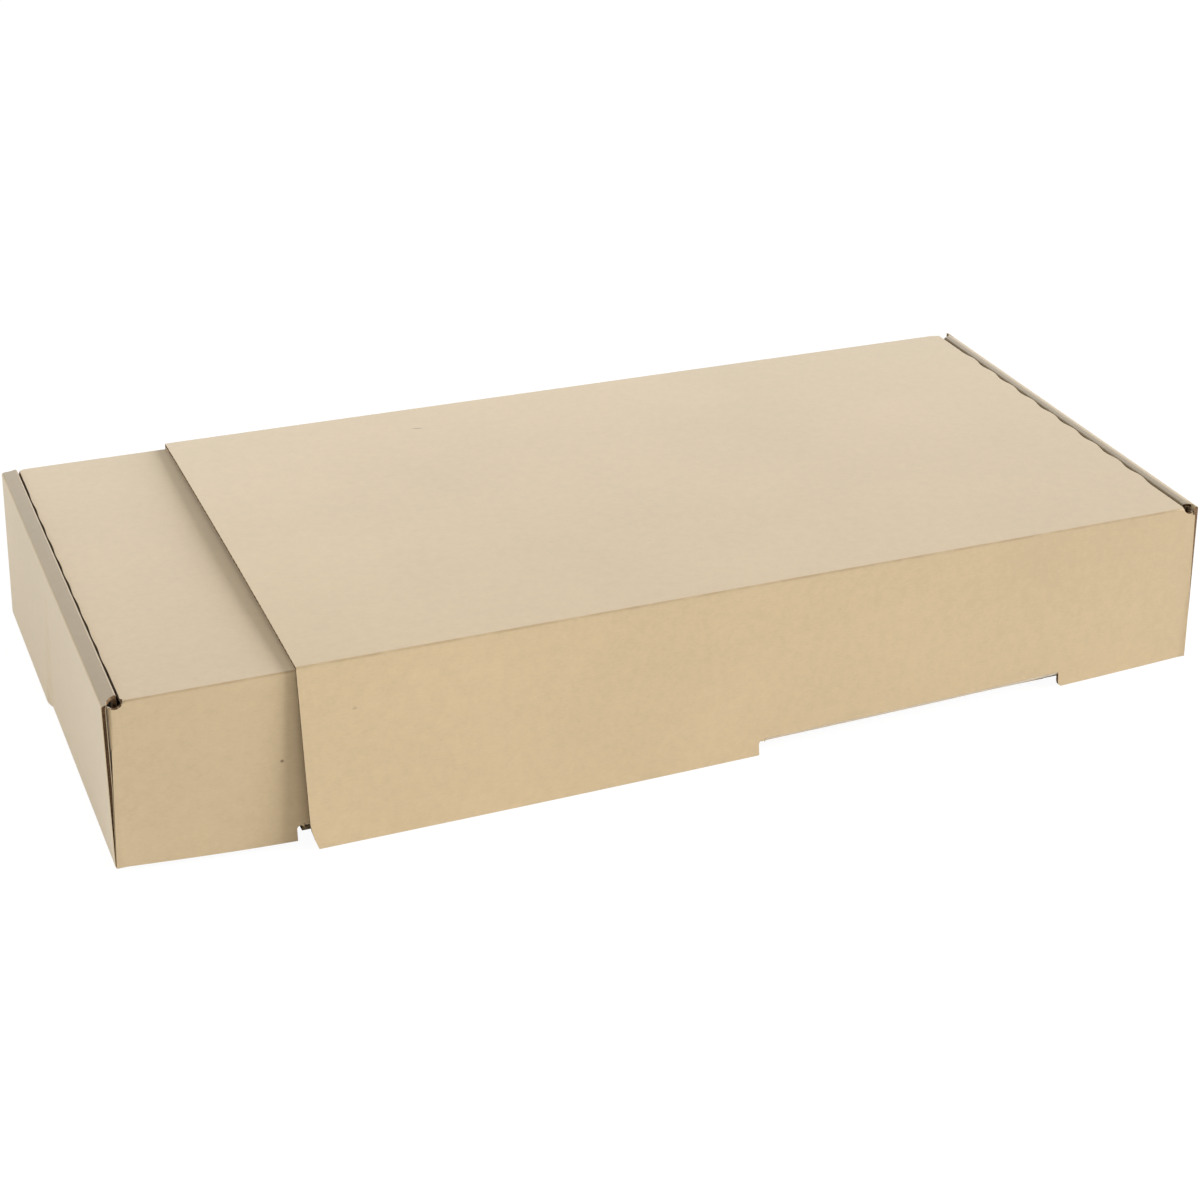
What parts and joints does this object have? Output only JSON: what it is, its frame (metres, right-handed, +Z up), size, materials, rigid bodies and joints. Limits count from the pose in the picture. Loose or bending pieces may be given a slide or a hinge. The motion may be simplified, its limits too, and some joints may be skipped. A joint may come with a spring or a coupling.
{
  "type": "adjustable carton",
  "caption": "Closed corrugated cardboard box of adjustable length: two half cartons that telescope, with roll-over end walls and folded flaps, lying flat.",
  "frame": {"origin": "middle of the carton's length and width, on the surface it lies on", "axes": "+X along the carton towards the outer half's closed end, +Y towards the back wall, +Z up"},
  "size_m": [0.6921, 0.3554, 0.1086],
  "materials": {
    "outer_board": "matte kraft",
    "inner_board": "matte kraft"
  },
  "bodies": {
    "outer_half": {"outer_half": "outer_board"},
    "inner_half": {"inner_half": "inner_board"}
  },
  "joints": [
    {"name": "length_slide", "type": "slide", "parent": "outer_half", "child": "inner_half", "axis": [-1, 0, 0], "range_m": [-0.07, 0.3]}
  ]
}
